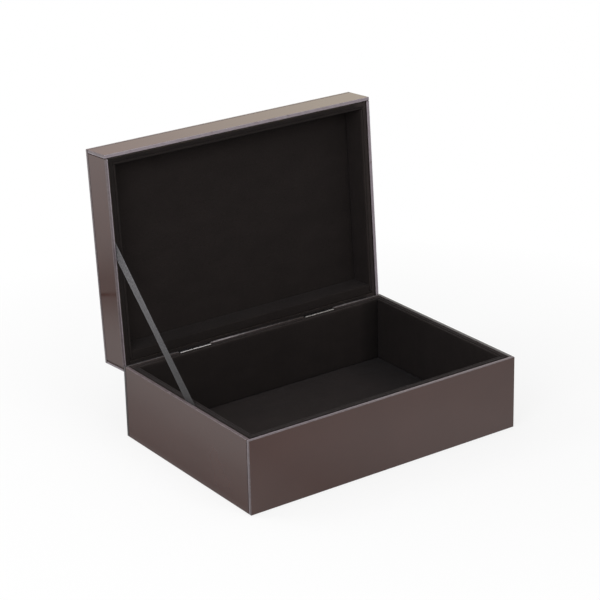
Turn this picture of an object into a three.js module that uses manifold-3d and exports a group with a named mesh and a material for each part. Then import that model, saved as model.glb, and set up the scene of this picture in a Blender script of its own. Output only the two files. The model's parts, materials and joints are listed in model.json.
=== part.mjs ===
// Decorative keepsake box: a thin wooden carcass faced outside with back-painted glass and lined
// inside with velvet-covered card. The lid stands open on two sunk butt hinges and a ribbon stay.
// Units are millimetres. X runs along the front, Y from front to back, Z up.
// The origin is the centre of the underside.

import * as THREE from 'three';
import { mergeVertices } from 'three/addons/utils/BufferGeometryUtils.js';
import Module from 'manifold-3d';

const wasm = await Module();
wasm.setup();

// The whole box
const boxWidth = 270;
const boxDepth = 188;
const baseHeight = 65;
const lidHeight = 30.6;
const closedGap = 1.2;
const openAngleDegrees = 93.65;

// The layers of a wall, from the outside in
const glassThickness = 3;
const adhesiveBed = 0.7;
const boardThickness = 3.6;
const liningThickness = 2;
const seam = 0.3;

// The layers of the floor and of the lid's top
const underfeltThickness = 1.5;
const underfeltInset = 6;
const glassFootGap = 0.5;
const bottomBoardThickness = 3;
const floorLiningThickness = 2;
const topBoardThickness = 2;
const topLiningThickness = 1.2;
const rebateDepth = 1.6;

// Edges and rims
const glassArris = 0.4;
const hingeArris = 1;
const boardEase = 0.3;
const liningEase = 0.5;
const feltEase = 0.3;
const rimSkinThickness = 0.5;
const rimSkinSetback = 0.1;
const rimSkinDrop = 0.2;
const liningDrop = 1.2;

// The hinges: the axis lies inside the back wall, just under the rim of the base
const hingeInset = 3;
const hingeDrop = 2.2;
const hingeSpacing = 131;
const hingeLength = 31;
const hingeLeafHeight = 12;
const leafThickness = 0.8;
const leafCorner = 1.2;
const barrelRadius = 2;
const barrelBore = 1.25;
const pinRadius = 1;
const pinHeadRadius = 1.5;
const pinHeadThickness = 0.5;
const knuckleGap = 0.3;
const mortiseClearance = 0.3;
const notchCorner = 1;

// The hinge screws
const screwSpacing = 18;
const screwReach = 8.6;
const screwLength = 3.2;
const screwHeadRadius = 1.8;
const screwShankRadius = 0.9;
const screwTip = 0.8;
const screwSlotWidth = 0.4;
const screwSlotDepth = 0.3;
const screwClearance = 0.3;

// The ribbon stay: where it crosses the two rims, measured from the hinge axis
const ribbonWidth = 10;
const ribbonThickness = 0.3;
const ribbonBaseReach = 94;
const ribbonLidReach = 101;
const ribbonTuck = 12;

// How far a cutting solid runs past what it cuts
const overrun = 1;

const knuckleCount = 5;
const roundSides = 24;
const panelEaseShare = 0.3;
const pinCrownShare = 0.5;

const openAngle = THREE.MathUtils.degToRad(openAngleDegrees);
const axisY = boxDepth / 2 - hingeInset;
const axisZ = baseHeight - hingeDrop;
const boardInset = glassThickness + adhesiveBed;
const liningInset = boardInset + boardThickness + seam;
const lidRim = baseHeight + closedGap;
const lidTop = lidRim + lidHeight;

const glass = new THREE.MeshStandardMaterial({ color: 0x5e4d49, roughness: 0.08, metalness: 0 });
const board = new THREE.MeshStandardMaterial({ color: 0xa5855f, roughness: 0.85, metalness: 0 });
const velvet = new THREE.MeshStandardMaterial({ color: 0x1b1818, roughness: 1, metalness: 0 });
const felt = new THREE.MeshStandardMaterial({ color: 0x151414, roughness: 1, metalness: 0 });
const steel = new THREE.MeshStandardMaterial({ color: 0xb9b4ab, roughness: 0.3, metalness: 1 });
const ribbon = new THREE.MeshStandardMaterial({ color: 0x5a575c, roughness: 0.7, metalness: 0 });

// Cutting and joining

function toSolid(geometry) {
  const bare = geometry.clone();
  bare.deleteAttribute('normal');
  bare.deleteAttribute('uv');
  const merged = mergeVertices(bare);
  const mesh = new wasm.Mesh({
    numProp: 3,
    vertProperties: new Float32Array(merged.attributes.position.array),
    triVerts: new Uint32Array(merged.index.array),
  });
  return new wasm.Manifold(mesh);
}

function toGeometry(solid) {
  const { vertProperties, triVerts } = solid.getMesh();
  const geometry = new THREE.BufferGeometry();
  geometry.setAttribute('position', new THREE.BufferAttribute(vertProperties, 3));
  geometry.setIndex(new THREE.BufferAttribute(triVerts, 1));
  geometry.computeVertexNormals();
  return geometry;
}

function cut(geometry, tools) {
  let solid = toSolid(geometry);
  for (const tool of tools) {
    solid = solid.subtract(toSolid(tool));
  }
  return toGeometry(solid);
}

function join(geometries) {
  let solid = toSolid(geometries[0]);
  for (const geometry of geometries.slice(1)) {
    solid = solid.add(toSolid(geometry));
  }
  return toGeometry(solid);
}

// Outlines and plates

// A closed outline through the given points.
function outlineOf(points) {
  return new THREE.Shape(points.map(([x, y]) => new THREE.Vector2(x, y)));
}

// A rectangle about the origin with its four corners cut off at 45 degrees.
function easedRectangle(width, height, ease) {
  const x = width / 2;
  const y = height / 2;
  return outlineOf([
    [ease - x, -y], [x - ease, -y], [x, ease - y], [x, y - ease],
    [x - ease, y], [ease - x, y], [-x, y - ease], [-x, ease - y],
  ]);
}

// A flat plate lying on its back, with a 45 degree arris along every edge.
function easedPlate(width, height, thickness, ease) {
  const geometry = new THREE.ExtrudeGeometry(easedRectangle(width, height, ease), {
    depth: thickness - 2 * ease,
    bevelEnabled: true,
    bevelThickness: ease,
    bevelSize: ease,
    bevelOffset: -ease,
    bevelSegments: 1,
  });
  geometry.translate(0, 0, ease);
  return geometry;
}

// Stands a plate up as a wall: its length along X, its outer face at y = 0, its foot at z = 0.
function standUp(plate, height, thickness) {
  plate.rotateX(Math.PI / 2);
  plate.translate(0, thickness, height / 2);
  return plate;
}

// A solid of one outline drawn in Y and Z and carried along X, centred on x = 0.
function extrudeAlongX(outline, length) {
  const geometry = new THREE.ExtrudeGeometry(outline, {
    depth: length,
    bevelEnabled: false,
    curveSegments: roundSides,
  });
  const turn = new THREE.Matrix4().makeBasis(
    new THREE.Vector3(0, 1, 0),
    new THREE.Vector3(0, 0, 1),
    new THREE.Vector3(1, 0, 0),
  );
  geometry.applyMatrix4(turn);
  geometry.translate(-length / 2, 0, 0);
  return geometry;
}

// An upright plate with its two lower corners rounded. Its outer face is at y = 0, and its top and
// its foot are at the given heights.
function roundFootedPlate(width, top, foot, corner, thickness) {
  const half = width / 2;
  const outline = new THREE.Shape();
  outline.moveTo(half, top);
  outline.lineTo(-half, top);
  outline.lineTo(-half, foot + corner);
  outline.absarc(corner - half, foot + corner, corner, Math.PI, 1.5 * Math.PI);
  outline.lineTo(half - corner, foot);
  outline.absarc(half - corner, foot + corner, corner, 1.5 * Math.PI, 2 * Math.PI);
  const geometry = new THREE.ExtrudeGeometry(outline, {
    depth: thickness,
    bevelEnabled: false,
    curveSegments: roundSides / 4,
  });
  geometry.rotateX(Math.PI / 2);
  geometry.translate(0, thickness, 0);
  return geometry;
}

// A plain block between two corners, used for cutting.
function blockBetween(low, high) {
  const [width, depth, height] = high.map((value, axis) => value - low[axis]);
  const geometry = new THREE.BoxGeometry(width, depth, height);
  geometry.translate(low[0] + width / 2, low[1] + depth / 2, low[2] + height / 2);
  return geometry;
}

// A turned solid whose profile is given as radius and distance along +Y.
function turned(profile) {
  return new THREE.LatheGeometry(outlineOf(profile).getPoints(), roundSides);
}

// Walls

const turns = { front: 0, back: Math.PI, left: -Math.PI / 2, right: Math.PI / 2 };

// Sets a wall piece on its side of the box. The piece was drawn as a front wall.
function setOnSide(mesh, side, inset, low) {
  const reach = {
    front: [0, inset - boxDepth / 2],
    back: [0, boxDepth / 2 - inset],
    left: [inset - boxWidth / 2, 0],
    right: [boxWidth / 2 - inset, 0],
  }[side];
  mesh.position.set(reach[0], reach[1], low);
  mesh.rotation.z = turns[side];
}

// Four walls of one layer. The front and back ones run right across and cover the side ones.
function addWalls(parent, names, layer, makeWall, material) {
  for (const side of Object.keys(turns)) {
    const across = side === 'front' || side === 'back';
    const length = across
      ? boxWidth - 2 * layer.inset
      : boxDepth - 2 * (layer.inset + layer.thickness + seam);
    const mesh = new THREE.Mesh(makeWall(length, side), material);
    mesh.name = `${names[0]}_${side}_${names[1]}`;
    setOnSide(mesh, side, layer.inset, layer.low);
    parent.add(mesh);
  }
}

function addPiece(parent, name, geometry, material, position = [0, 0, 0]) {
  const mesh = new THREE.Mesh(geometry, material);
  mesh.name = name;
  mesh.position.set(...position);
  parent.add(mesh);
  return mesh;
}

// The cuts that the hinges need

const hingePlaces = [-hingeSpacing / 2, hingeSpacing / 2];
const pinOverhang = knuckleGap + pinHeadThickness;
const notchWidth = hingeLength + 2 * (pinOverhang + mortiseClearance);

// The notch that the barrel stands in, open upward, with round lower corners as drilled glass has.
function barrelNotch(x, near, far, foot, top) {
  const notch = roundFootedPlate(notchWidth, top, foot, notchCorner, far - near);
  notch.translate(x, near, 0);
  return notch;
}

// The shallow bed of a leaf in a board's outer face.
function leafBed(x, low, high) {
  const depth = hingeInset + seam + leafThickness + mortiseClearance - boardInset;
  return blockBetween([x - notchWidth / 2, -overrun, low], [x + notchWidth / 2, depth, high]);
}

// The pilot holes of one leaf's screws, bored into a board's outer face at the given height.
function pilotHoles(x, height) {
  const reach = hingeInset + seam + screwLength + screwClearance - boardInset;
  const radius = screwShankRadius + screwClearance;
  return [-screwSpacing / 2, screwSpacing / 2].map((offset) => {
    const hole = turned([[0, -overrun], [radius, -overrun], [radius, reach], [0, reach]]);
    hole.translate(x + offset, 0, height);
    return hole;
  });
}

// A long prism that takes a wide arris off the outer top edge of a standing wall.
function wideArris(length, height) {
  const outline = outlineOf([
    [-overrun, height - hingeArris - overrun],
    [hingeArris + overrun, height + overrun],
    [-overrun, height + overrun],
  ]);
  return extrudeAlongX(outline, length + 2 * overrun);
}

// Glass

function glassWall(length, height) {
  return standUp(easedPlate(length, height, glassThickness, glassArris), height, glassThickness);
}

function addBaseGlass(parent) {
  const height = baseHeight - glassFootGap;
  const foot = height - hingeDrop - barrelRadius - mortiseClearance;
  const layer = { inset: 0, thickness: glassThickness, low: glassFootGap };
  const makeWall = (length, side) => {
    const wall = glassWall(length, height);
    if (side !== 'back') {
      return wall;
    }
    const notches = hingePlaces.map((x) => (
      barrelNotch(x, -overrun, glassThickness + overrun, foot, height + overrun)
    ));
    return cut(wall, [wideArris(length, height), ...notches]);
  };
  addWalls(parent, ['base', 'glass'], layer, makeWall, glass);
}

function addLidGlass(parent) {
  const height = lidHeight - glassThickness - seam;
  const layer = { inset: 0, thickness: glassThickness, low: lidRim };
  addWalls(parent, ['lid', 'glass'], layer, (length) => glassWall(length, height), glass);
  const top = easedPlate(boxWidth, boxDepth, glassThickness, glassArris);
  addPiece(parent, 'lid_top_glass', top, glass, [0, 0, lidTop - glassThickness]);
}

// Boards

const boardFoot = underfeltThickness + seam;
const baseBoardTop = baseHeight - rimSkinDrop - rimSkinThickness - seam;
const lidBoardFoot = lidRim + rimSkinDrop + rimSkinThickness + seam;
const lidBoardTop = lidTop - glassThickness - seam;

// A wall board with its far edge rebated inside for the panel, and its rim edge eased.
// It is drawn with the rebate at the foot.
function rebatedBoard(length, height, rebateHeight) {
  const outline = outlineOf([
    [0, 0],
    [boardThickness - rebateDepth, 0],
    [boardThickness - rebateDepth, rebateHeight],
    [boardThickness, rebateHeight],
    [boardThickness, height - boardEase],
    [boardThickness - boardEase, height],
    [boardEase, height],
    [0, height - boardEase],
  ]);
  return extrudeAlongX(outline, length);
}

function addBaseBoards(parent) {
  const height = baseBoardTop - boardFoot;
  const axisHeight = axisZ - boardFoot;
  const barrelFoot = axisHeight - barrelRadius - mortiseClearance;
  const barrelDepth = hingeInset + barrelRadius + mortiseClearance - boardInset;
  const leafFoot = axisHeight - hingeLeafHeight - mortiseClearance;
  const layer = { inset: boardInset, thickness: boardThickness, low: boardFoot };
  const makeWall = (length, side) => {
    const wall = rebatedBoard(length, height, bottomBoardThickness + seam);
    if (side !== 'back') {
      return wall;
    }
    const tools = hingePlaces.flatMap((x) => [
      barrelNotch(x, -overrun, barrelDepth, barrelFoot, height + overrun),
      leafBed(x, leafFoot, height + overrun),
      ...pilotHoles(x, axisHeight - screwReach),
    ]);
    return cut(wall, tools);
  };
  addWalls(parent, ['base', 'board'], layer, makeWall, board);
  const bottom = panelBoard(bottomBoardThickness);
  addPiece(parent, 'base_bottom_board', bottom, board, [0, 0, boardFoot]);
}

function addLidBoards(parent) {
  const height = lidBoardTop - lidBoardFoot;
  const leafTop = axisZ + hingeLeafHeight + mortiseClearance - lidBoardFoot;
  const screwHeight = axisZ + screwReach - lidBoardFoot;
  const layer = { inset: boardInset, thickness: boardThickness, low: lidBoardFoot };
  const makeWall = (length, side) => {
    const wall = rebatedBoard(length, height, topBoardThickness + seam);
    wall.rotateY(Math.PI);
    wall.translate(0, 0, height);
    if (side !== 'back') {
      return wall;
    }
    const tools = hingePlaces.flatMap((x) => [
      leafBed(x, -overrun, leafTop),
      ...pilotHoles(x, screwHeight),
    ]);
    return cut(wall, tools);
  };
  addWalls(parent, ['lid', 'board'], layer, makeWall, board);
  const top = panelBoard(topBoardThickness);
  addPiece(parent, 'lid_top_board', top, board, [0, 0, lidBoardTop - topBoardThickness]);
}

// The board that closes the foot of the base or the top of the lid, seated in the rebates.
function panelBoard(thickness) {
  const inset = boardInset + boardThickness - rebateDepth + seam;
  return easedPlate(boxWidth - 2 * inset, boxDepth - 2 * inset, thickness, boardEase);
}

// Linings

function liningWall(length, height) {
  return standUp(easedPlate(length, height, liningThickness, liningEase), height, liningThickness);
}

function liningPanel(thickness) {
  const inset = boardInset + boardThickness + seam;
  const ease = Math.min(liningEase, thickness * panelEaseShare);
  return easedPlate(boxWidth - 2 * inset, boxDepth - 2 * inset, thickness, ease);
}

function addBaseLining(parent) {
  const floorFoot = boardFoot + bottomBoardThickness + seam;
  const low = floorFoot + floorLiningThickness + seam;
  const height = baseHeight - liningDrop - low;
  const layer = { inset: liningInset, thickness: liningThickness, low };
  addWalls(parent, ['base', 'lining'], layer, (length) => liningWall(length, height), velvet);
  addPiece(parent, 'base_floor_lining', liningPanel(floorLiningThickness), velvet, [0, 0, floorFoot]);
}

function addLidLining(parent) {
  const topFoot = lidBoardTop - topBoardThickness - seam - topLiningThickness;
  const low = lidRim + liningDrop;
  const height = topFoot - seam - low;
  const layer = { inset: liningInset, thickness: liningThickness, low };
  addWalls(parent, ['lid', 'lining'], layer, (length) => liningWall(length, height), velvet);
  addPiece(parent, 'lid_top_lining', liningPanel(topLiningThickness), velvet, [0, 0, topFoot]);
}

// The strip of velvet that caps the boards' edges all round, notched at each hinge.
function rimSkin(notchInset) {
  const outer = boardInset + rimSkinSetback;
  const inner = boardInset + boardThickness;
  const outline = easedRectangle(boxWidth - 2 * outer, boxDepth - 2 * outer, boardEase);
  outline.holes.push(easedRectangle(boxWidth - 2 * inner, boxDepth - 2 * inner, boardEase));
  const ring = new THREE.ExtrudeGeometry(outline, { depth: rimSkinThickness, bevelEnabled: false });
  const far = boxDepth / 2;
  return cut(ring, hingePlaces.map((x) => blockBetween(
    [x - notchWidth / 2, far - notchInset, -overrun],
    [x + notchWidth / 2, far, rimSkinThickness + overrun],
  )));
}

function addRimSkins(base, lid) {
  const barrelInset = hingeInset + barrelRadius + mortiseClearance;
  const leafInset = hingeInset + seam + leafThickness + mortiseClearance;
  const baseFoot = baseHeight - rimSkinDrop - rimSkinThickness;
  addPiece(base, 'base_rim_velvet', rimSkin(barrelInset), velvet, [0, 0, baseFoot]);
  addPiece(lid, 'lid_rim_velvet', rimSkin(leafInset), velvet, [0, 0, lidRim + rimSkinDrop]);
}

function addUnderfelt(parent) {
  const width = boxWidth - 2 * underfeltInset;
  const depth = boxDepth - 2 * underfeltInset;
  addPiece(parent, 'base_underfelt', easedPlate(width, depth, underfeltThickness, feltEase), felt);
}

// Hinges, drawn about the pin: X along the pin, Y towards the back of the box, Z up

const knuckleLength = (hingeLength - (knuckleCount - 1) * knuckleGap) / knuckleCount;
const leafOuter = -seam;
const leafInner = -seam - leafThickness;

// The section of a leaf where it is rolled round the pin: a plate that grows into a ring.
function knuckleOutline() {
  const footZ = -barrelRadius - knuckleGap;
  const outerZ = -Math.sqrt(barrelRadius ** 2 - leafOuter ** 2);
  const innerZ = -Math.sqrt(barrelRadius ** 2 - leafInner ** 2);
  const startAngle = Math.atan2(outerZ, leafOuter);
  const endAngle = Math.atan2(innerZ, leafInner);
  const outline = new THREE.Shape();
  outline.moveTo(leafInner, footZ - knuckleGap);
  outline.lineTo(leafOuter, footZ - knuckleGap);
  outline.lineTo(leafOuter, outerZ);
  outline.absarc(0, 0, barrelRadius, startAngle, endAngle, false);
  outline.closePath();
  const bore = new THREE.Path();
  bore.absarc(0, 0, barrelBore, 0, 2 * Math.PI, true);
  outline.holes.push(bore);
  return outline;
}

// One knuckle. The stations are counted along the barrel from its left end, from 0.
function knuckle(station) {
  const first = (knuckleLength - hingeLength) / 2;
  const solid = extrudeAlongX(knuckleOutline(), knuckleLength);
  solid.translate(first + station * (knuckleLength + knuckleGap), 0, 0);
  return solid;
}

// The flat of a leaf, below the knuckles, with its two free corners rounded.
function leafPlate() {
  const top = -barrelRadius - knuckleGap;
  const plate = roundFootedPlate(hingeLength, top, -hingeLeafHeight, leafCorner, leafThickness);
  plate.translate(0, leafInner, 0);
  return plate;
}

// The countersunk holes of a leaf, a clearance wider than the screws.
function leafHoles() {
  const shank = screwShankRadius + screwClearance;
  const head = screwHeadRadius + screwClearance;
  const profile = [
    [0, leafInner - overrun], [shank, leafInner - overrun], [shank, leafInner],
    [head, leafOuter], [head, leafOuter + overrun], [0, leafOuter + overrun],
  ];
  return [-screwSpacing / 2, screwSpacing / 2].map((x) => {
    const hole = turned(profile);
    hole.translate(x, 0, -screwReach);
    return hole;
  });
}

function hingeLeaf(stations) {
  return cut(join([leafPlate(), ...stations.map(knuckle)]), leafHoles());
}

// The hinge pin, with a low peened head at each end of the barrel.
function hingePin() {
  const half = hingeLength / 2 + knuckleGap;
  const end = half + pinHeadThickness;
  const crown = pinHeadRadius * pinCrownShare;
  const pin = turned([
    [0, -end], [crown, -end], [pinHeadRadius, -half], [pinRadius, -half],
    [pinRadius, half], [pinHeadRadius, half], [crown, end], [0, end],
  ]);
  pin.rotateZ(-Math.PI / 2);
  return pin;
}

// A short countersunk screw with a slotted head. Its head faces +Y and its tip points into the wood.
function hingeScrew() {
  const neck = -leafThickness;
  const tip = -screwLength;
  const screw = turned([
    [0, tip], [screwShankRadius, tip + screwTip], [screwShankRadius, neck],
    [screwHeadRadius, 0], [0, 0],
  ]);
  const slot = blockBetween(
    [-screwHeadRadius - overrun, -screwSlotDepth, -screwSlotWidth / 2],
    [screwHeadRadius + overrun, overrun, screwSlotWidth / 2],
  );
  return cut(screw, [slot]);
}

// One leaf and its two screws, hung on a group at the pin.
function addLeaf(pivot, name, stations) {
  addPiece(pivot, name, hingeLeaf(stations), steel);
  for (const [index, side] of [-1, 1].entries()) {
    const place = [side * screwSpacing / 2, leafOuter, -screwReach];
    addPiece(pivot, `${name}_screw_${index + 1}`, hingeScrew(), steel, place);
  }
}

function addHinges(base, lid) {
  const stations = [...Array(knuckleCount).keys()];
  for (const [index, side] of ['left', 'right'].entries()) {
    const basePivot = new THREE.Group();
    basePivot.position.set(hingePlaces[index], axisY, axisZ);
    addLeaf(basePivot, `${side}_hinge_base_leaf`, stations.filter((station) => station % 2 === 0));
    addPiece(basePivot, `${side}_hinge_pin`, hingePin(), steel);
    base.add(basePivot);

    const lidPivot = new THREE.Group();
    lidPivot.position.copy(basePivot.position);
    lidPivot.rotation.y = Math.PI;
    addLeaf(lidPivot, `${side}_hinge_lid_leaf`, stations.filter((station) => station % 2 === 1));
    lid.add(lidPivot);
  }
}

// The ribbon stay, taut from the bed behind the base's left glass to that behind the lid's.
function addRibbon(parent) {
  const low = new THREE.Vector2(-ribbonBaseReach, hingeDrop);
  const high = new THREE.Vector2(-ribbonLidReach, closedGap + hingeDrop);
  high.rotateAround(new THREE.Vector2(0, 0), -openAngle);
  const run = high.clone().sub(low);
  const middle = low.clone().add(high).divideScalar(2);
  const length = run.length() + 2 * ribbonTuck;
  const strip = new THREE.BoxGeometry(ribbonThickness, length, ribbonWidth);
  const x = glassThickness + adhesiveBed / 2 - boxWidth / 2;
  const mesh = addPiece(parent, 'stay_ribbon', strip, ribbon, [x, axisY + middle.x, axisZ + middle.y]);
  mesh.rotation.x = Math.atan2(run.y, run.x);
}

// The assembly. The lid is drawn shut and then swung open about the hinge axis.

const box = new THREE.Group();
const base = new THREE.Group();
const swing = new THREE.Group();
const lid = new THREE.Group();
swing.position.set(0, axisY, axisZ);
swing.rotation.x = -openAngle;
lid.position.set(0, -axisY, -axisZ);
swing.add(lid);
box.add(base, swing);

addUnderfelt(base);
addBaseBoards(base);
addBaseGlass(base);
addBaseLining(base);
addLidBoards(lid);
addLidGlass(lid);
addLidLining(lid);
addRimSkins(base, lid);
addHinges(base, lid);
addRibbon(base);

export default box;
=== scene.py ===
"""A decorative keepsake box: a board carcass faced with back-painted glass and lined with velvet,
its lid held open by a ribbon. Everything is in metres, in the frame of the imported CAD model:
X along the front, Y from front to back, Z up, with the origin in the middle of the underside.
"""

import json
import math

import bmesh
import bpy
from mathutils import Matrix, Vector


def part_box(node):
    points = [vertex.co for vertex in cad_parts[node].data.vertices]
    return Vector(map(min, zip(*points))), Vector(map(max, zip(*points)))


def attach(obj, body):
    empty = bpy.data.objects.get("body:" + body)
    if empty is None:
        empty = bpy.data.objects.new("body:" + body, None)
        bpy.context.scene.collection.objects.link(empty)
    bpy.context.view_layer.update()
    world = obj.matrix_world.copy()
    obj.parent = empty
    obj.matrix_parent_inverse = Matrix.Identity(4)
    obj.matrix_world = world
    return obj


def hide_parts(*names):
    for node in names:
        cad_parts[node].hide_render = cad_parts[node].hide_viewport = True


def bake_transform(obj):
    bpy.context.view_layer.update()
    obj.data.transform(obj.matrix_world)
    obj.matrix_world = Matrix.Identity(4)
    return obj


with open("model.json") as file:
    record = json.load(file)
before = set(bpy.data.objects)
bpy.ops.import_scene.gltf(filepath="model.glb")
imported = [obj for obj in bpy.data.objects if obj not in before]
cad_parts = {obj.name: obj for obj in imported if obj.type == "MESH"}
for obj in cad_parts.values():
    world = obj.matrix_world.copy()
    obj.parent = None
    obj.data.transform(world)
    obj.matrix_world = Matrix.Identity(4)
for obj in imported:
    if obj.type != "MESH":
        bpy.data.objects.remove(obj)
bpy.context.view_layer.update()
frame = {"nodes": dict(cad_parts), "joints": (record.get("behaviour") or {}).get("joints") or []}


# The view
# The box is seen through a long lens from the left of its front and a little above its rim.
# There are no cords.

view_lens = bpy.data.cameras.new("view_lens")
view_lens.lens = 127.14
view_lens.sensor_width = 36
view_camera = bpy.data.objects.new("view_camera", view_lens)
view_camera.location = (-0.9489, -1.3370, 0.7629)
view_camera.rotation_euler = [math.radians(turn) for turn in (68.608, 1.2517, -35.3346)]
bpy.context.scene.collection.objects.link(view_camera)
bpy.context.scene.camera = view_camera
bpy.context.scene.view_settings.view_transform = "Standard"


# The studio
# A table under four soft lamps. The camera sees white all round, and the shadow of the box on a pale
# table. The gloss sees pinkish walls, brighter and yellower to the right, and a table whose glow
# comes and goes, with one dark line across it.

def add_node(finish, kind, **sockets):
    """A new node in a finish, with the given socket values. Each _ in a name stands for a space."""
    node = finish.node_tree.nodes.new(kind)
    for socket, value in sockets.items():
        node.inputs[socket.replace("_", " ")].default_value = value
    return node


def join(finish, source, socket):
    """Leads what comes out of one node of a finish into a socket of another."""
    finish.node_tree.links.new(source, socket)


def blend_shaders(finish, share, first, second):
    """A mix of two shaders: the first where the share is 0 and the second where it is 1."""
    blend = add_node(finish, "ShaderNodeMixShader")
    if isinstance(share, float):
        blend.inputs[0].default_value = share
    else:
        join(finish, share, blend.inputs[0])
    join(finish, first.outputs[0], blend.inputs[1])
    join(finish, second.outputs[0], blend.inputs[2])
    return blend


def shown_to(finish, camera, gloss, rest):
    """One shader for the camera, one for what the gloss reflects and one for all other light."""
    path = add_node(finish, "ShaderNodeLightPath")
    reflected = blend_shaders(finish, path.outputs["Is Glossy Ray"], rest, gloss)
    return blend_shaders(finish, path.outputs["Is Camera Ray"], reflected, camera)


def sides_of(finish, reading="Object"):
    """How far a point lies along X, Y and Z, by one reading of the texture coordinates."""
    place = add_node(finish, "ShaderNodeTexCoord")
    sides = add_node(finish, "ShaderNodeSeparateXYZ")
    join(finish, place.outputs[reading], sides.inputs[0])
    return sides.outputs


def levels(finish, source, first, last):
    """A number that follows a source between two stops, each a level of the source and the number
    there."""
    span = add_node(
        finish,
        "ShaderNodeMapRange",
        From_Min=first[0],
        From_Max=last[0],
        To_Min=first[1],
        To_Max=last[1],
    )
    join(finish, source, span.inputs["Value"])
    return span.outputs["Result"]


def level_steps(finish, source, steps):
    """A number with a given level at each of several places, and between them in proportion."""
    curve = add_node(finish, "ShaderNodeFloatCurve")
    points = curve.mapping.curves[0].points
    curve.mapping.use_clip = False
    curve.mapping.extend = "HORIZONTAL"
    for index, (place, level) in enumerate(steps):
        point = points[index] if index < 2 else points.new(place, level)
        point.location = (place, level)
        point.handle_type = "VECTOR"
    curve.mapping.update()
    join(finish, source, curve.inputs["Value"])
    return curve.outputs["Value"]


white = (1.0, 1.0, 1.0, 1.0)
wall_change = ((0.44, 0.0), (0.6, 1.0))
table_size = 8
table_drop = 0.0001
table_whitening = ((0.18, 0.8), (0.5, 1.0))
glow_share = 0.4

studio_air = bpy.data.worlds.new("studio_air")
studio_air.use_nodes = True
studio_air.node_tree.nodes.clear()
backdrop = add_node(studio_air, "ShaderNodeBackground", Color=white, Strength=1.0)
left_wall = add_node(studio_air, "ShaderNodeBackground", Color=(1.0, 0.875, 0.855, 1.0), Strength=0.72)
right_wall = add_node(studio_air, "ShaderNodeBackground", Color=(1.0, 0.92, 0.76, 1.0), Strength=1.3)
soft_light = add_node(studio_air, "ShaderNodeBackground", Color=white, Strength=0.42)
to_the_right = levels(studio_air, sides_of(studio_air, "Generated")["X"], *wall_change)
walls = blend_shaders(studio_air, to_the_right, left_wall, right_wall)
air_shown = shown_to(studio_air, camera=backdrop, gloss=walls, rest=soft_light)
air_output = add_node(studio_air, "ShaderNodeOutputWorld")
join(studio_air, air_shown.outputs[0], air_output.inputs["Surface"])
bpy.context.scene.world = studio_air

bpy.ops.mesh.primitive_plane_add(size=table_size, location=(0, 0, -table_drop))
table = bpy.context.active_object
table.name = "studio_table"
table_paint = bpy.data.materials.new("table_paint")
table_paint.use_nodes = True
table_paint.node_tree.nodes.clear()
table_place = add_node(table_paint, "ShaderNodeTexCoord")
from_middle = add_node(table_paint, "ShaderNodeVectorMath")
from_middle.operation = "LENGTH"
join(table_paint, table_place.outputs["Object"], from_middle.inputs[0])
distance = from_middle.outputs["Value"]

table_pale = add_node(table_paint, "ShaderNodeBsdfDiffuse", Color=(0.8, 0.8, 0.8, 1.0))
table_white = add_node(table_paint, "ShaderNodeEmission", Color=white, Strength=1.0)
whiteness = levels(table_paint, distance, *table_whitening)
table_seen = blend_shaders(table_paint, whiteness, table_pale, table_white)

dark_line = level_steps(table_paint, distance, (
    (0.39, 0.76), (0.43, 0.71), (0.47, 0.61), (0.484, 0.59), (0.487, 0.1),
    (0.493, 0.1), (0.496, 0.6), (0.54, 0.63), (0.58, 0.72), (0.62, 0.76),
))
glow_around = level_steps(table_paint, distance, (
    (0.10, 2.15), (0.16, 1.84), (0.22, 1.38), (0.36, 0.97), (0.48, 0.15),
    (0.54, 0.15), (0.66, 0.9), (0.80, 1.45), (0.95, 1.9),
))
glow_across = level_steps(table_paint, sides_of(table_paint)["X"], (
    (-0.26, 1.0), (-0.20, 0.6), (-0.17, 0.2), (-0.14, 0.1), (-0.13, 0.8),
    (-0.06, 0.5), (0.04, 0.8), (0.12, 1.0), (0.20, 1.15),
))
glow_level = add_node(table_paint, "ShaderNodeMath")
glow_level.operation = "MULTIPLY"
join(table_paint, glow_around, glow_level.inputs[0])
join(table_paint, glow_across, glow_level.inputs[1])
table_top = add_node(table_paint, "ShaderNodeBsdfDiffuse")
join(table_paint, dark_line, table_top.inputs["Color"])
table_glow = add_node(table_paint, "ShaderNodeEmission", Color=white)
join(table_paint, glow_level.outputs[0], table_glow.inputs["Strength"])
table_reflected = blend_shaders(table_paint, glow_share, table_top, table_glow)

table_soft = add_node(table_paint, "ShaderNodeBsdfDiffuse", Color=(0.48, 0.48, 0.48, 1.0))
table_shown = shown_to(table_paint, camera=table_seen, gloss=table_reflected, rest=table_soft)
table_output = add_node(table_paint, "ShaderNodeOutputMaterial")
join(table_paint, table_shown.outputs[0], table_output.inputs["Surface"])
table.data.materials.append(table_paint)


def soft_box(name, place, aim, size, watts):
    """A square studio lamp behind a diffuser, at a place and turned towards an aim."""
    lamp = bpy.data.lights.new(name, "AREA")
    lamp.size = size
    lamp.energy = watts
    fitting = bpy.data.objects.new(name, lamp)
    fitting.location = place
    fitting.rotation_euler = (Vector(aim) - Vector(place)).to_track_quat("-Z", "Y").to_euler()
    fitting.visible_camera = False
    bpy.context.scene.collection.objects.link(fitting)


box_middle = (0.0, 0.0, 0.08)
lid_side = (-0.135, 0.1, 0.15)
soft_box("overhead_light", place=(-0.1, -0.1, 1.3), aim=box_middle, size=1.0, watts=4.2)
soft_box("front_light", place=(0.05, -0.8, 0.78), aim=box_middle, size=0.5, watts=2.85)
soft_box("left_light", place=(-0.75, -0.45, 0.6), aim=box_middle, size=0.45, watts=2.9)
soft_box("side_light", place=(-0.45, 0.3, 0.55), aim=lid_side, size=0.3, watts=1.3)


# The felt under the base
# One sheet of pressed black felt, glued to the bottom board a little in from the glass.
# It has a hairy face and slightly soft cut edges.

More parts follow.
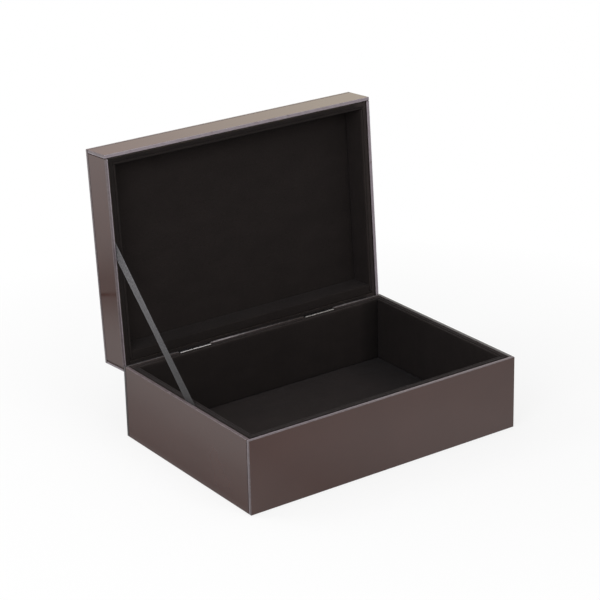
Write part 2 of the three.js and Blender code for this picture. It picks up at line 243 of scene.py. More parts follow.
def only(piece):
    """Leaves one piece selected, and active."""
    bpy.ops.object.select_all(action="DESELECT")
    piece.select_set(True)
    bpy.context.view_layer.objects.active = piece


def settle(piece):
    """Puts a piece's place, turn and size into its mesh."""
    only(piece)
    bpy.ops.object.transform_apply(location=True, rotation=True, scale=True)


def add_modifier(piece, kind, **settings):
    """Adds one modifier to a piece and applies it."""
    only(piece)
    modifier = piece.modifiers.new(kind.lower(), kind)
    for setting, value in settings.items():
        setattr(modifier, setting, value)
    bpy.ops.object.modifier_apply(modifier=modifier.name)


def add_sheet_slab(name, low, high, cell):
    """A slab whose two broad faces are divided into cells, to be made uneven."""
    size = high - low
    thin = min(range(3), key=lambda axis: size[axis])
    along, up = {0: (1, 2), 1: (0, 2), 2: (0, 1)}[thin]
    turn = {0: (math.pi / 2, 0, math.pi / 2), 1: (math.pi / 2, 0, 0), 2: (0, 0, 0)}[thin]
    bpy.ops.mesh.primitive_grid_add(
        x_subdivisions=max(2, round(size[along] / cell)),
        y_subdivisions=max(2, round(size[up] / cell)),
        size=1,
        location=(low + high) / 2,
        rotation=turn,
    )
    piece = bpy.context.active_object
    piece.name = name
    piece.scale = (size[along], size[up], 1)
    settle(piece)
    add_modifier(piece, "SOLIDIFY", thickness=size[thin], offset=0)
    return piece


def round_sharp_edges(piece, width, segments, sharper_than):
    """Rounds every edge where two faces meet at more than an angle, given in degrees."""
    only(piece)
    bpy.ops.object.mode_set(mode="EDIT")
    bpy.ops.mesh.select_mode(type="EDGE")
    bpy.ops.mesh.select_all(action="DESELECT")
    bpy.ops.mesh.edges_select_sharp(sharpness=math.radians(sharper_than))
    bpy.ops.mesh.bevel(offset=width, segments=segments, affect="EDGES", clamp_overlap=True)
    bpy.ops.object.mode_set(mode="OBJECT")


def open_whole(piece):
    """Opens a piece for shaping, with all of it selected."""
    only(piece)
    bpy.ops.object.mode_set(mode="EDIT")
    bpy.ops.mesh.select_all(action="SELECT")


def make_uneven(piece, amount, seed):
    """Moves each point of a piece a little along its normal."""
    open_whole(piece)
    bpy.ops.transform.vertex_random(offset=amount, uniform=0, normal=1, seed=seed)
    bpy.ops.object.mode_set(mode="OBJECT")


def smooth_over(piece, sharper_than=60):
    """Shades a piece smoothly, apart from edges where two faces meet at more than an angle."""
    only(piece)
    bpy.ops.object.shade_smooth_by_angle(angle=math.radians(sharper_than), keep_sharp_edges=False)


def tone(red, green, blue):
    """A colour in the 0 to 255 steps of a paint chart, as the linear value that a shader takes."""
    linear = []
    for step in (red, green, blue):
        share = step / 255
        linear.append(share / 12.92 if share <= 0.04045 else ((share + 0.055) / 1.055) ** 2.4)
    return (*linear, 1.0)


def new_finish(name, **sockets):
    """A finish with one shader. What is the same all over the surface is set on the shader."""
    finish = bpy.data.materials.new(name)
    finish.use_nodes = True
    shader = finish.node_tree.nodes["Principled BSDF"]
    for socket, value in sockets.items():
        shader.inputs[socket.replace("_", " ")].default_value = value
    return finish


def set_socket(finish, socket, source):
    """Lets a pattern or a colour drive one socket of a finish's shader."""
    join(finish, source, finish.node_tree.nodes["Principled BSDF"].inputs[socket])


def mottle(finish, lump, detail=2.0, stretch=(1.0, 1.0, 1.0)):
    """Soft random mottling with lumps of about one size, drawn out by stretch along X, Y and Z."""
    place = add_node(finish, "ShaderNodeTexCoord")
    drawn_out = add_node(finish, "ShaderNodeMapping", Scale=[1 / share for share in stretch])
    noise = add_node(finish, "ShaderNodeTexNoise", Scale=1 / lump, Detail=detail)
    join(finish, place.outputs["Object"], drawn_out.inputs["Vector"])
    join(finish, drawn_out.outputs["Vector"], noise.inputs["Vector"])
    return noise.outputs["Fac"]


def colours(finish, pattern, stops):
    """Colours laid over a pattern, each at its own level of the pattern."""
    ramp = add_node(finish, "ShaderNodeValToRGB")
    while len(ramp.color_ramp.elements) < len(stops):
        ramp.color_ramp.elements.new(0.5)
    for element, (level, colour) in zip(ramp.color_ramp.elements, stops):
        element.position = level
        element.color = colour
    join(finish, pattern, ramp.inputs["Fac"])
    return ramp.outputs["Color"]


def emboss(finish, reliefs):
    """Raises the surface by each of several patterns, given with their heights in metres."""
    last = None
    for pattern, height in reliefs:
        bump = add_node(finish, "ShaderNodeBump", Distance=height, Strength=1.0)
        join(finish, pattern, bump.inputs["Height"])
        if last is not None:
            join(finish, last.outputs["Normal"], bump.inputs["Normal"])
        last = bump
    set_socket(finish, "Normal", last.outputs["Normal"])


def place_on(piece, body, finishes, node):
    """Gives a finished piece its finishes, its body and the CAD node it stands for."""
    for finish in finishes:
        piece.data.materials.append(finish)
    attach(piece, body)
    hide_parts(node)


felt_cell = 0.006
felt_roundness = 0.0004
felt_unevenness = 0.00004

pressed_felt = new_finish("pressed_felt", Roughness=0.95, Sheen_Weight=0.15, Sheen_Roughness=0.5)
felt_fibres = mottle(pressed_felt, lump=0.0007, detail=4.0)
felt_clumps = mottle(pressed_felt, lump=0.012, detail=3.0)
set_socket(pressed_felt, "Base Color", colours(pressed_felt, felt_fibres, [
    (0.3, tone(24, 23, 23)),
    (0.7, tone(42, 41, 41)),
]))
felt_swell = levels(pressed_felt, felt_clumps, (0.3, 0.35), (0.7, 0.65))
emboss(pressed_felt, [(felt_fibres, 0.0003), (felt_swell, 0.0002)])

felt_low, felt_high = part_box("base_underfelt")
felt_sheet = add_sheet_slab("underfelt_sheet", felt_low, felt_high, felt_cell)
round_sharp_edges(felt_sheet, felt_roundness, segments=2, sharper_than=40)
make_uneven(felt_sheet, felt_unevenness, seed=1)
smooth_over(felt_sheet)
place_on(felt_sheet, "base", [pressed_felt], "base_underfelt")


# The carcass boards
# Thin fibreboard, stained near black where it may show, rebated for the bottom and the top board.
# Glass, velvet and lining cover it, and only cut edges show from below or through the gaps.

def finish_nodes(word, finish):
    """Gives a finish to the CAD nodes that stay and have a word in their names."""
    for name, node in frame["nodes"].items():
        if word in name:
            node.material_slots[0].material = finish


stained_board = new_finish("stained_board", Roughness=0.8)
board_fibres = mottle(stained_board, lump=0.0009, detail=5.0, stretch=(3.0, 3.0, 1.0))
board_stain = mottle(stained_board, lump=0.02)
set_socket(stained_board, "Base Color", colours(stained_board, board_fibres, [
    (0.25, tone(34, 28, 24)),
    (0.55, tone(52, 43, 36)),
    (0.8, tone(76, 62, 50)),
]))
set_socket(stained_board, "Roughness", levels(stained_board, board_stain, (0.3, 0.7), (0.7, 0.9)))
emboss(stained_board, [(board_fibres, 0.00015)])
finish_nodes("_board", stained_board)


# The glass panels
# Clear 3 mm float glass, sprayed brown on its back and glued to the boards. The front and back
# panels cover the ends of the side ones, and the lid's top panel covers them all. Each edge is
# ground, and a flat arris is taken off it all round.

glass_arris = 0.0003
ground_line = 0.00006
ground_band = 0.001

# A face counts as square on to a way, or leaning to it, when the cosine between them is above this
square_on = 0.999
leaning = 0.3

lid_hinge = frame["joints"][0]
pin_axis = Vector(lid_hinge["pos_m"])
lid_swing = math.radians(lid_hinge["range_deg"][1])


def node_box(node):
    """The lowest and the highest corner of a node as it is made: in place on the base, or on the
    lid while it is shut."""
    if not node.startswith("lid_"):
        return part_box(node)
    turn = Matrix.Rotation(lid_swing, 3, "X")
    points = [turn @ (corner.co - pin_axis) + pin_axis for corner in frame["nodes"][node].data.vertices]
    low = Vector([min(point[axis] for point in points) for axis in range(3)])
    high = Vector([max(point[axis] for point in points) for axis in range(3)])
    return low, high


def swing_open(piece):
    """Turns a piece of the lid, made with the lid shut, about the hinge pins to where it stands open."""
    only(piece)
    bpy.ops.transform.rotate(value=lid_swing, orient_axis="X", center_override=pin_axis)
    bpy.ops.object.transform_apply(location=True, rotation=True, scale=True)


def add_block(name, low, high):
    """A block between two corners, to be shaped."""
    bpy.ops.mesh.primitive_cube_add(size=1, location=(low + high) / 2, scale=high - low)
    piece = bpy.context.active_object
    piece.name = name
    settle(piece)
    return piece


def cut_across(piece, place, direction):
    """Cuts every face of a piece along a plane."""
    open_whole(piece)
    bpy.ops.mesh.bisect(plane_co=place, plane_no=direction)
    bpy.ops.object.mode_set(mode="OBJECT")


def way_along(axis, outward=1):
    """A direction along one axis, forwards or backwards."""
    way = Vector((0, 0, 0))
    way[axis] = outward
    return way


def grind_edges(panel, thin, outward):
    """Takes a flat arris off every sharp edge and then the sharpness off its two lines, and marks off
    the inner band of the edges."""
    round_sharp_edges(panel, glass_arris, segments=1, sharper_than=60)
    round_sharp_edges(panel, ground_line, segments=2, sharper_than=30)
    way_out = way_along(thin, outward)
    back = min(corner.co.dot(way_out) for corner in panel.data.vertices)
    cut_across(panel, way_out * (back + ground_band), way_out)


def scaled_colour(finish, colour, share):
    """A colour made lighter or darker by a share."""
    scaling = add_node(finish, "ShaderNodeVectorMath")
    scaling.operation = "SCALE"
    join(finish, colour, scaling.inputs["Vector"])
    join(finish, share, scaling.inputs["Scale"])
    return scaling.outputs["Vector"]


glossy_glass = new_finish("back_painted_glass", Roughness=0.04, IOR=1.5)
paint_cloud = mottle(glossy_glass, lump=0.07, detail=3.0)
glass_haze = mottle(glossy_glass, lump=0.03, detail=6.0, stretch=(1.0, 1.0, 2.0))
glass_float = mottle(glossy_glass, lump=0.12, detail=1.0)
set_socket(glossy_glass, "Base Color", colours(glossy_glass, paint_cloud, [
    (0.3, tone(66, 40, 34)),
    (0.7, tone(72, 45, 39)),
]))
set_socket(glossy_glass, "Roughness", levels(glossy_glass, glass_haze, (0.35, 0.02), (0.75, 0.09)))
emboss(glossy_glass, [(glass_float, 0.0002)])

ground_glass = new_finish("ground_glass_edge", Roughness=0.45, IOR=1.5)
grinding_marks = mottle(ground_glass, lump=0.0006, detail=3.0)
edge_chips = mottle(ground_glass, lump=0.0035, detail=3.0)
set_socket(ground_glass, "Base Color", colours(ground_glass, edge_chips, [
    (0.22, tone(104, 90, 92)),
    (0.34, tone(134, 124, 130)),
    (0.64, tone(144, 135, 142)),
    (0.80, tone(160, 153, 159)),
]))
set_socket(ground_glass, "Roughness", levels(ground_glass, grinding_marks, (0.3, 0.35), (0.7, 0.6)))
emboss(ground_glass, [(grinding_marks, 0.00006), (edge_chips, 0.00005)])

polished_edge = new_finish("polished_glass_edge", Roughness=0.15, IOR=1.5)
polishing_marks = mottle(polished_edge, lump=0.0012, detail=3.0, stretch=(3.0, 3.0, 1.0))
set_socket(polished_edge, "Base Color", colours(polished_edge, polishing_marks, [
    (0.3, tone(92, 82, 84)),
    (0.7, tone(112, 102, 105)),
]))
set_socket(polished_edge, "Roughness", levels(polished_edge, polishing_marks, (0.3, 0.12), (0.7, 0.25)))
emboss(polished_edge, [(polishing_marks, 0.00002)])

# The top edge of the base's back panel: a darker copy of the polished edge, as painted shade from the
# open lid, made lighter beside the hinges as a painted glint.
glinting_shaded_edge = new_finish("glass_edge_painted_shade_and_glint", Roughness=0.2, IOR=1.5)
back_edge_marks = mottle(glinting_shaded_edge, lump=0.0015, detail=3.0, stretch=(3.0, 1.0, 1.0))
shaded_edge_colour = colours(glinting_shaded_edge, back_edge_marks, [
    (0.3, tone(59, 56, 57)),
    (0.7, tone(73, 70, 72)),
])
painted_glint_beside_hinges = level_steps(glinting_shaded_edge, sides_of(glinting_shaded_edge)["X"], (
    (-0.050, 1.0), (-0.048, 4.3), (-0.030, 6.2), (-0.020, 3.0), (-0.005, 1.5), (0.012, 1.1),
    (0.030, 0.5), (0.045, 0.3), (0.081, 1.0), (0.084, 2.4), (0.100, 2.3), (0.120, 1.1),
))
set_socket(glinting_shaded_edge, "Base Color", scaled_colour(glinting_shaded_edge, shaded_edge_colour, painted_glint_beside_hinges))
set_socket(glinting_shaded_edge, "Roughness", levels(glinting_shaded_edge, back_edge_marks, (0.3, 0.15), (0.7, 0.3)))
emboss(glinting_shaded_edge, [(back_edge_marks, 0.00002)])


def dull_edge(name, stretch, dark, light):
    """A glass edge ground smooth but not polished, with its marks drawn out along it."""
    finish = new_finish(name, Roughness=0.5, IOR=1.5, Specular_IOR_Level=0.25)
    marks = mottle(finish, lump=0.0015, detail=3.0, stretch=stretch)
    set_socket(finish, "Base Color", colours(finish, marks, [(0.3, dark), (0.7, light)]))
    set_socket(finish, "Roughness", levels(finish, marks, (0.3, 0.45), (0.7, 0.6)))
    emboss(finish, [(marks, 0.00002)])
    return finish


# The base's right and front edges get their own copies of this finish, each in a tone that matches how
# brightly it is lit: painted light.
right_edge = dull_edge("right_glass_edge", (1.0, 3.0, 1.0), tone(84, 83, 84), tone(102, 101, 102))
front_edge = dull_edge("front_glass_edge", (3.0, 1.0, 1.0), tone(96, 88, 91), tone(114, 106, 109))

paint_film = new_finish("paint_film", Roughness=0.7)
film_runs = mottle(paint_film, lump=0.004, detail=3.0)
set_socket(paint_film, "Base Color", colours(paint_film, film_runs, [
    (0.3, tone(44, 29, 25)),
    (0.7, tone(54, 37, 32)),
]))
emboss(paint_film, [(film_runs, 0.00005)])

glass_finishes = [
    glossy_glass, ground_glass, paint_film, polished_edge, glinting_shaded_edge, right_edge, front_edge,
]


def finish_glass(panel, thin, outward, level_edge, upright_edge, inner_band, covered=()):
    """Gives a panel its finishes: gloss outside, one finish on the outer part of its level edges and
    one on that of its upright edges, and one on the inner band of both. Paint covers the back and,
    where the spray goes round, the edges that another panel covers and the arrises at the back."""
    back = min(corner.co[thin] * outward for corner in panel.data.vertices)
    for face in panel.data.polygons:
        facing = face.normal[thin] * outward
        is_level = abs(face.normal.z) > leaning
        if facing > square_on:
            finish = glossy_glass
        elif facing < -square_on or any(face.normal.dot(Vector(way)) > leaning for way in covered):
            finish = paint_film
        elif facing < -leaning and (thin == 2 or not is_level):
            finish = paint_film
        elif face.center[thin] * outward - back < ground_band:
            finish = inner_band
        else:
            finish = level_edge if is_level else upright_edge
        face.material_index = glass_finishes.index(finish)


def covered_ways(body, side):
    """The ways that the edges face which another panel covers."""
    ways = []
    if side in ("left", "right"):
        ways += [(0, -1, 0), (0, 1, 0)]
    if body == "lid" and side != "top":
        ways += [(0, 0, 1)]
    return ways


# The axis that each panel is thin along, and which way along it is out
outward_side = {"front": (1, -1), "back": (1, 1), "left": (0, -1), "right": (0, 1), "top": (2, 1)}

# The finish of each panel's level edges, and that of the inner band of all its edges. They are partly a
# real finish, ground or polished, and partly painted light: each panel gets the lighter or darker finish
# that matches how brightly its edges are lit.
edge_finishes = {
    "base_front_glass": (front_edge, ground_glass),
    "base_left_glass": (polished_edge, polished_edge),
    "base_right_glass": (right_edge, right_edge),
    "lid_front_glass": (ground_glass, ground_glass),
    "lid_left_glass": (polished_edge, ground_glass),
    "lid_right_glass": (ground_glass, ground_glass),
    "lid_top_glass": (polished_edge, polished_edge),
}

for node, (level_edge, inner_band) in edge_finishes.items():
    body, side = node.split("_")[:2]
    thin, outward = outward_side[side]
    panel = add_block(f"{body}_{side}_panel", *node_box(node))
    grind_edges(panel, thin, outward)
    covered = covered_ways(body, side)
    finish_glass(panel, thin, outward, level_edge, polished_edge, inner_band, covered)
    if body == "lid":
        swing_open(panel)
    place_on(panel, body, glass_finishes, node)


# The back panels
# The base's back panel has two notches, drilled and ground, that the hinge barrels stand in, and a
# wider arris on its top edge, so that the lid's rim swings past it. The lid's is plain.

hinge_arris = 0.001
barrel_radius = 0.002
barrel_clearance = 0.0003
notch_corner = 0.001
nearly_flat = 0.01
touching = 0.00001

hinge_places = []
for side in ("left", "right"):
    pin_low, pin_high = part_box(f"{side}_hinge_pin")
    hinge_places.append((pin_low.x + pin_high.x) / 2)
notch_half = (pin_high.x - pin_low.x) / 2 + barrel_clearance
notch_foot = pin_axis.z - barrel_radius - barrel_clearance


def add_plate(name, middle, width, depth, turn=0.0):
    """A rectangle with no thickness, lying level or turned about X, to be shaped."""
    bpy.ops.mesh.primitive_plane_add(size=1, location=middle, rotation=(turn, 0, 0))
    piece = bpy.context.active_object
    piece.name = name
    piece.scale = (width, depth, 1)
    settle(piece)
    return piece


def middle_of(part):
    """The middle of an edge or a face."""
    return sum((corner.co for corner in part.verts), Vector()) / len(part.verts)


def open_part(piece, kind, wanted):
    """Opens a piece for shaping, with only its wanted corners, edges or faces selected."""
    only(piece)
    bpy.ops.object.mode_set(mode="EDIT")
    bpy.ops.mesh.select_mode(type=kind)
    bpy.ops.mesh.select_all(action="DESELECT")
    mesh = bmesh.from_edit_mesh(piece.data)
    for part in {"VERT": mesh.verts, "EDGE": mesh.edges, "FACE": mesh.faces}[kind]:
        if wanted(part):
            part.select_set(True)
    mesh.select_flush_mode()
    bmesh.update_edit_mesh(piece.data)


def cut_notches(plate, axis, line):
    """Cuts away what a plate has past a line along one axis where the hinges stand."""
    for place in hinge_places:
        cut_across(plate, (place - notch_half, 0, 0), way_along(0))
        cut_across(plate, (place + notch_half, 0, 0), way_along(0))
    cut_across(plate, way_along(axis) * line, way_along(axis))

    def in_notch(face):
        middle = middle_of(face)
        return middle[axis] > line and any(abs(middle.x - place) < notch_half for place in hinge_places)

    open_part(plate, "FACE", in_notch)
    bpy.ops.mesh.delete(type="FACE")
    bpy.ops.object.mode_set(mode="OBJECT")


low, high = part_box("base_back_glass")
outside = ((low.x + high.x) / 2, high.y, (low.z + high.z) / 2)
back_panel = add_plate("base_back_panel", outside, high.x - low.x, high.z - low.z, math.pi / 2)
cut_notches(back_panel, 2, notch_foot)
open_whole(back_panel)
bpy.ops.mesh.dissolve_limited(angle_limit=nearly_flat)
bpy.ops.object.mode_set(mode="OBJECT")
open_part(back_panel, "VERT", lambda corner: abs(corner.co.z - notch_foot) < touching)
bpy.ops.mesh.bevel(offset=notch_corner, segments=6, affect="VERTICES")
bpy.ops.mesh.select_all(action="SELECT")
bpy.ops.mesh.extrude_region_move(TRANSFORM_OT_translate={"value": (0, low.y - high.y, 0)})
bpy.ops.mesh.select_all(action="SELECT")
bpy.ops.mesh.normals_make_consistent(inside=False)
bpy.ops.object.mode_set(mode="OBJECT")
open_part(back_panel, "EDGE", lambda edge: all(
    abs(end.co.z - high.z) < touching and abs(end.co.y - high.y) < touching for end in edge.verts
))
bpy.ops.mesh.bevel(offset=hinge_arris, segments=1, affect="EDGES")
bpy.ops.object.mode_set(mode="OBJECT")
grind_edges(back_panel, *outward_side["back"])
# Its edges all take the edge finish with the painted shade and the painted glint.
finish_glass(back_panel, *outward_side["back"], glinting_shaded_edge, glinting_shaded_edge, glinting_shaded_edge)
place_on(back_panel, "base", glass_finishes, "base_back_glass")

lid_back_panel = add_block("lid_back_panel", *node_box("lid_back_glass"))
grind_edges(lid_back_panel, *outward_side["back"])
covered = covered_ways("lid", "back")
# Its inner band takes the dark paint film: partly paint, and partly painted shade where it stands close
# over the base.
finish_glass(lid_back_panel, *outward_side["back"], polished_edge, ground_glass, paint_film, covered)
swing_open(lid_back_panel)
place_on(lid_back_panel, "lid", glass_finishes, "lid_back_glass")


# The lining
# Cards covered in short black velvet and pressed in: four walls round a floor in the base, and four
# round the lid's top. The cloth is turned over their edges. The walls stand level with the rims,
# and the one on the lid's hinge side is built up.

def velvet(name, light_steps, sheen=0.07):
    """Short black velvet, made lighter or darker by steps along X, Y or Z: painted light and shade."""
    cloth = new_finish(
        name,
        Roughness=0.9,
        Specular_IOR_Level=0.15,
        Sheen_Weight=sheen,
        Sheen_Roughness=0.35,
        Sheen_Tint=(0.75, 0.78, 0.9, 1.0),
    )
    pile = mottle(cloth, lump=0.0005, detail=3.0)
    nap = mottle(cloth, lump=0.028, detail=3.0, stretch=(1.0, 1.0, 2.5))
    brushed = mottle(cloth, lump=0.012, detail=4.0, stretch=(2.5, 1.0, 1.4))
    pile_colour = colours(cloth, pile, [(0.3, tone(24, 20, 19)), (0.7, tone(39, 34, 33))])
    shown_colour = scaled_colour(cloth, pile_colour, levels(cloth, brushed, (0.35, 0.9), (0.7, 1.08)))
    for side, steps in light_steps.items():
        painted_light = level_steps(cloth, sides_of(cloth)[side], steps)
        shown_colour = scaled_colour(cloth, shown_colour, painted_light)
    set_socket(cloth, "Base Color", shown_colour)
    emboss(cloth, [(pile, 0.00025), (nap, 0.0006)])
    return cloth


# Painted light and shade on the cards: the base's back card is lighter along its top as a painted
# highlight and darker at its right end as painted shadow; the floor is darker towards the right as
# painted shade; the lid's hinge-side card is darker, more so to the left, and has less sheen, as painted
# shade; the lid's right card is lighter all over, more so higher up, as painted light.
card_velvets = {
    "base_back_lining": velvet("base_back_velvet", {
        "Z": ((0.0, 1.0), (0.0636, 1.0), (0.0644, 2.2)),
        "X": ((0.0, 0.92), (0.03, 0.95), (0.07, 1.1), (0.105, 1.1), (0.113, 0.7), (0.126, 0.45)),
    }),
    "base_floor_lining": velvet("base_floor_velvet", {
        "X": ((0.0, 1.0), (0.083, 1.0), (0.09, 0.82), (0.098, 0.68), (0.108, 0.55), (0.126, 0.5)),
    }),
    "lid_back_lining": velvet("lid_back_velvet", {"X": ((-0.12, 0.72), (0.12, 0.9))}, sheen=0.025),
    "lid_right_lining": velvet("lid_right_velvet", {"Z": ((0.0, 1.3), (0.2, 1.5))}),
}
plain_velvet = velvet("plain_velvet", {})

card_cell = 0.005
card_roundness = 0.0007
card_roundness_share = 0.4
card_unevenness = 0.00005
first_card_seed = 11
rim_rise = 0.0009
hinge_card_build_up = 0.0063
side_card_clearance = 0.0003
side_card_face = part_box("base_right_lining")[0].x - side_card_clearance


def put_in_order(parts, unordered):
    """Sorts the unordered ones among a mesh's edges or faces by place, in the turns that they have
    between them."""
    parts.index_update()
    found = [part for part in parts if unordered(part)]
    by_place = sorted(found, key=lambda part: tuple(middle_of(part)))
    turns = dict(zip(by_place, [part.index for part in found]))
    parts.sort(key=lambda part: turns.get(part, part.index))


def build_up(card):
    """Thickens a card on the hinge side, between the two side cards. The new sides are put in order,
    because extrusion leaves them in one that changes from run to run."""
    for place in (-side_card_face, side_card_face):
        cut_across(card, (place, 0, 0), way_along(0))
    front = min(corner.co.y for corner in card.data.vertices)

    def between_side_cards(face):
        middle = middle_of(face)
        return middle.y < front + touching and abs(middle.x) < side_card_face

    def on_a_new_side(part):
        return abs(middle_of(part).y - (front - hinge_card_build_up / 2)) < touching

    open_part(card, "FACE", between_side_cards)
    bpy.ops.mesh.extrude_region_move(TRANSFORM_OT_translate={"value": (0, -hinge_card_build_up, 0)})
    mesh = bmesh.from_edit_mesh(card.data)
    put_in_order(mesh.edges, on_a_new_side)
    put_in_order(mesh.faces, on_a_new_side)
    bmesh.update_edit_mesh(card.data)
    bpy.ops.object.mode_set(mode="OBJECT")


linings = sorted(name for name in frame["nodes"] if name.endswith("_lining"))
for seed, node in enumerate(linings, first_card_seed):
    body, side = node.split("_")[:2]
    low, high = node_box(node)
    if side in ("front", "back", "left", "right"):
        if body == "base":
            high.z += rim_rise
        else:
            low.z -= rim_rise
    card = add_sheet_slab(f"{body}_{side}_velvet_card", low, high, card_cell)
    if node == "lid_back_lining":
        build_up(card)
    roundness = min(card_roundness, min(high - low) * card_roundness_share)
    round_sharp_edges(card, roundness, segments=3, sharper_than=60)
    make_uneven(card, card_unevenness, seed)
    smooth_over(card)
    if body == "lid":
        swing_open(card)
    place_on(card, body, [card_velvets.get(node, plain_velvet)], node)


# The velvet over the rims
# Strips of the same velvet glued over the top edges of the boards, mitred at the corners and cut
# away where the hinges stand. Each strip is painted lighter or darker in steps along it: painted
# light and shade.

# Painted light: the base's back strip is lighter than the others, and the lid's strips are darker to the
# left and lighter at the right end.
rim_velvets = {
    "base": velvet("base_rim_velvet", {"Y": ((-0.1, 0.82), (0.084, 0.82), (0.088, 1.8))}),
    "lid": velvet("lid_rim_velvet", {"X": ((-0.13, 0.68), (0.118, 0.85), (0.124, 2.0))}),
}
strip_width = 0.0032
strip_gap = 0.0003
strip_roundness = 0.0002
strip_unevenness = 0.00004
rim_notch_depths = {"base": 0.0053, "lid": 0.0044}
back_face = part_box("base_back_glass")[1].y

# The cuts that divide the strips, along X and along Y: how far apart, and how many on each side
strip_cuts = ((0, 0.0053, 24), (1, 0.0051, 16))

for body, cloth in rim_velvets.items():
    node = f"{body}_rim_velvet"
    low, high = node_box(node)
    size = high - low
    width = size.x - 2 * strip_gap
    depth = size.y - 2 * strip_gap
    rim = add_plate(f"{body}_rim_strips", (low + high) / 2, width, depth)
    open_whole(rim)
    bpy.ops.mesh.inset(thickness=strip_width, depth=0)
    bpy.ops.mesh.delete(type="FACE")
    bpy.ops.object.mode_set(mode="OBJECT")
    cut_notches(rim, 1, back_face - rim_notch_depths[body])
    for axis, pitch, count in strip_cuts:
        for step in range(-count, count + 1):
            cut_across(rim, way_along(axis) * (step * pitch), way_along(axis))
    add_modifier(rim, "SOLIDIFY", thickness=size.z, offset=0)
    round_sharp_edges(rim, strip_roundness, segments=2, sharper_than=60)
    make_uneven(rim, strip_unevenness, seed=30)
    smooth_over(rim)
    if body == "lid":
        swing_open(rim)
    place_on(rim, body, [cloth], node)


# The hinges
# Two small butt hinges in bright nickel, sunk in the back wall. Each has leaves with rolled
# knuckles, a headed pin, and four short countersunk screws.

bright_nickel = new_finish("bright_nickel", Metallic=1.0, Roughness=0.28)
nickel_brushing = mottle(bright_nickel, lump=0.00035, detail=3.0, stretch=(12.0, 1.0, 1.0))
nickel_tarnish = mottle(bright_nickel, lump=0.006, detail=3.0)
nickel_colour = colours(bright_nickel, nickel_tarnish, [
    (0.35, tone(186, 189, 194)),
    (0.7, tone(214, 217, 223)),
])
# The nickel is made darker from the left hinge towards the right one.
darker_to_the_right = levels(bright_nickel, sides_of(bright_nickel)["X"], (-0.03, 1.0), (0.05, 0.66))
set_socket(bright_nickel, "Base Color", scaled_colour(bright_nickel, nickel_colour, darker_to_the_right))
set_socket(bright_nickel, "Roughness", levels(bright_nickel, nickel_brushing, (0.3, 0.2), (0.7, 0.38)))
emboss(bright_nickel, [(nickel_brushing, 0.00002)])
finish_nodes("hinge", bright_nickel)


# The ribbon stay
# A taut grey ribbed ribbon on the left, its ends glued between the side glass and the side board.
# It stops the lid.

ribbon_width = 0.010
ribbon_length = 0.167
ribbon_core = 0.00024
cells_across = 12
rib_pitch = 0.0008
rib_height = 0.00006
rib_stop = 0.0005
rows = 2 * round(ribbon_length / rib_pitch)
rib_run = 2 * ribbon_length / rows
selvedge_share = 0.07
selvedge_fade = 0.05
ribbon_turn = math.radians(6)
untwisted_share = 0.12
base_crossing = Vector((-0.13165, -0.005, 0.065))
lid_crossing = Vector((-0.13165, 0.10075, 0.1645))

# How far round a wave texture goes, in radians, over one metre at a scale of 1
wave_turn = 20

ribbed_ribbon = new_finish(
    "ribbed_ribbon",
    Roughness=0.7,
    Sheen_Weight=0.2,
    Sheen_Roughness=0.4,
    Sheen_Tint=(0.85, 0.85, 0.87, 1.0),
)
ribbon_map = add_node(ribbed_ribbon, "ShaderNodeUVMap")
ribbon_sides = add_node(ribbed_ribbon, "ShaderNodeSeparateXYZ")
join(ribbed_ribbon, ribbon_map.outputs["UV"], ribbon_sides.inputs[0])
true_scale = add_node(ribbed_ribbon, "ShaderNodeMapping", Scale=(ribbon_width, ribbon_length, 1.0))
join(ribbed_ribbon, ribbon_map.outputs["UV"], true_scale.inputs["Vector"])


def thread_noise(along, across):
    """Random tones in patches of about one size, along the ribbon and across it."""
    patches = add_node(ribbed_ribbon, "ShaderNodeMapping", Scale=(1 / across, 1 / along, 1.0))
    noise = add_node(ribbed_ribbon, "ShaderNodeTexNoise", Scale=1.0, Detail=2.0)
    join(ribbed_ribbon, true_scale.outputs["Vector"], patches.inputs["Vector"])
    join(ribbed_ribbon, patches.outputs["Vector"], noise.inputs["Vector"])
    return noise.outputs["Fac"]


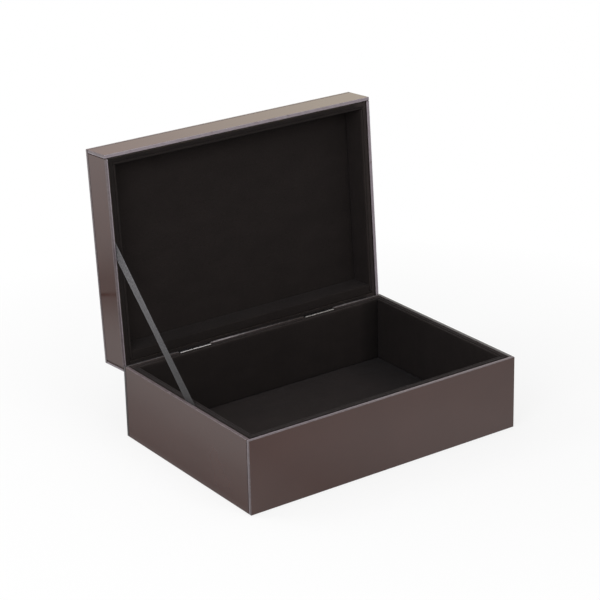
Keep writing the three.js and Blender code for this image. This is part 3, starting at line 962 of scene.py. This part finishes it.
weft_slubs = thread_noise(along=0.0009, across=0.0022)
warp_threads = thread_noise(along=0.008, across=0.0004)
slub_colour = colours(ribbed_ribbon, weft_slubs, [
    (0.32, tone(62, 61, 64)),
    (0.5, tone(98, 97, 100)),
    (0.68, tone(130, 129, 132)),
])
ribs = add_node(ribbed_ribbon, "ShaderNodeTexWave", Scale=2 * math.pi / (wave_turn * rib_run))
ribs.bands_direction = "Y"
join(ribbed_ribbon, true_scale.outputs["Vector"], ribs.inputs["Vector"])
rib_shade = levels(ribbed_ribbon, ribs.outputs["Fac"], (0.0, 0.78), (1.0, 1.1))
selvedges = level_steps(ribbed_ribbon, ribbon_sides.outputs["X"], (
    (0.0, 1.15), (selvedge_share, 1.15), (selvedge_share + selvedge_fade, 0.97),
    (1 - selvedge_share - selvedge_fade, 0.97), (1 - selvedge_share, 1.15), (1.0, 1.15),
))
# Painted shade: the ribbon is made much darker towards its base end, and a little darker at its lid end.
painted_shade_towards_base = level_steps(ribbed_ribbon, ribbon_sides.outputs["Y"], (
    (0.07, 0.12), (0.3, 0.34), (0.55, 0.69), (0.8, 0.88), (0.93, 0.66),
))
ribbon_colour = slub_colour
for share in (rib_shade, selvedges, painted_shade_towards_base):
    ribbon_colour = scaled_colour(ribbed_ribbon, ribbon_colour, share)
set_socket(ribbed_ribbon, "Base Color", ribbon_colour)
emboss(ribbed_ribbon, [(weft_slubs, 0.00008), (warp_threads, 0.00004)])


def on_a_rib(corner):
    """Whether a corner of the flat ribbon lies on every other row, and in from the selvedges."""
    row = round((corner.co.y / ribbon_length + 0.5) * rows)
    return row % 2 == 1 and abs(corner.co.x) < ribbon_width / 2 - rib_stop


bpy.ops.mesh.primitive_grid_add(x_subdivisions=cells_across, y_subdivisions=rows, size=1)
ribbon = bpy.context.active_object
ribbon.name = "ribbon_stay"
ribbon.scale = (ribbon_width, ribbon_length, 1)
settle(ribbon)
add_modifier(ribbon, "SOLIDIFY", thickness=ribbon_core, offset=0)
open_part(ribbon, "VERT", on_a_rib)
bpy.ops.transform.shrink_fatten(value=rib_height)
bpy.ops.object.mode_set(mode="OBJECT")
for stretch, turn in (
    ((untwisted_share, 0.5), -ribbon_turn),
    ((0.5, 1 - untwisted_share), ribbon_turn),
):
    add_modifier(ribbon, "SIMPLE_DEFORM", deform_axis="Y", angle=turn, limits=stretch)
ribbon.rotation_euler = (0, -ribbon_turn, 0)
settle(ribbon)
smooth_over(ribbon, sharper_than=80)
ribbon.rotation_euler = (0, math.pi / 2, 0)
settle(ribbon)
ribbon_run = lid_crossing - base_crossing
ribbon.rotation_euler = (math.atan2(ribbon_run.z, ribbon_run.y), 0, 0)
ribbon.location = (base_crossing + lid_crossing) / 2
settle(ribbon)
ribbon.data.materials.append(ribbed_ribbon)
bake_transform(ribbon)
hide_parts("stay_ribbon")
